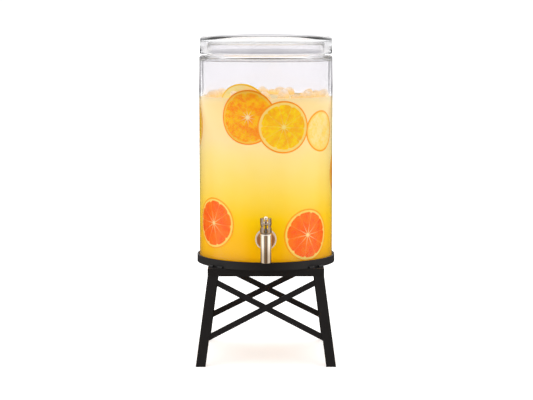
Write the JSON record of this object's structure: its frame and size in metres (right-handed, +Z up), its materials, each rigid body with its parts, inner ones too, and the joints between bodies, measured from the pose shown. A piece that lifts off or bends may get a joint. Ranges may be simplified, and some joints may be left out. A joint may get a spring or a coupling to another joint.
{
  "type": "beverage dispenser",
  "caption": "Straight clear glass drink jar with a domed glass lid and a small lever tap, held in a ring on a splayed angle-iron stand with crossed braces.",
  "frame": {"origin": "on the floor, midway between the four feet and under the jar's axis", "axes": "+Z up along the jar's axis, -Y towards the tap (the front), +X to the right seen from the front"},
  "size_m": [0.2284, 0.275, 0.5325],
  "materials": {
    "black_iron": "near-black satin powder coat",
    "jar_glass": "clear polished soda-lime glass",
    "lid_glass": "clear pressed glass",
    "clear_silicone": "clear silicone",
    "white_silicone": "milky silicone",
    "black_rubber": "black nitrile",
    "nickel": "polished warm nickel plate",
    "steel": "bright stainless steel"
  },
  "bodies": {
    "stand": {"stand_ring": "black_iron", "ring_welds": "black_iron", "frame_rail_front": "black_iron", "frame_rail_right": "black_iron", "frame_rail_rear": "black_iron", "frame_rail_left": "black_iron", "leg_front_right": "black_iron", "leg_rear_right": "black_iron", "leg_rear_left": "black_iron", "leg_front_left": "black_iron", "brace_front_rising": "black_iron", "brace_front_falling": "black_iron", "brace_right_rising": "black_iron", "brace_right_falling": "black_iron", "brace_rear_rising": "black_iron", "brace_rear_falling": "black_iron", "brace_left_rising": "black_iron", "brace_left_falling": "black_iron"},
    "jar": {"jar_glass": "jar_glass", "tap_body": "nickel", "tap_bonnet": "nickel", "stem_oring": "black_rubber", "outer_washer": "white_silicone", "inner_washer": "white_silicone", "tap_nut": "nickel", "lever_pin": "steel"},
    "lid": {"lid_glass": "lid_glass", "lid_gasket": "clear_silicone"},
    "lever": {"tap_lever": "nickel"},
    "valve": {"valve_stem": "steel", "valve_seal": "white_silicone", "valve_spring": "steel"}
  },
  "joints": [
    {"name": "jar_lift", "type": "slide", "parent": "stand", "child": "jar", "axis": [0, 0, 1], "range_m": [0, 0.03]},
    {"name": "lid_lift", "type": "slide", "parent": "jar", "child": "lid", "axis": [0, 0, 1], "range_m": [0, 0.03]},
    {"name": "lever_press", "type": "hinge", "parent": "jar", "child": "lever", "pos_m": [0, -0.143, 0.2365], "axis": [1, 0, 0], "range_deg": [0, 28], "stiffness_Nm_per_rad": 0.1, "springref_deg": -20.05},
    {"name": "valve_rise", "type": "slide", "parent": "jar", "child": "valve", "axis": [0, 0, 1], "range_m": [0, 0.003], "deforming": ["valve_spring"]}
  ],
  "couplings": [
    {"joint": "valve_rise", "follows": "lever_press", "m_per_rad": 0.006}
  ]
}
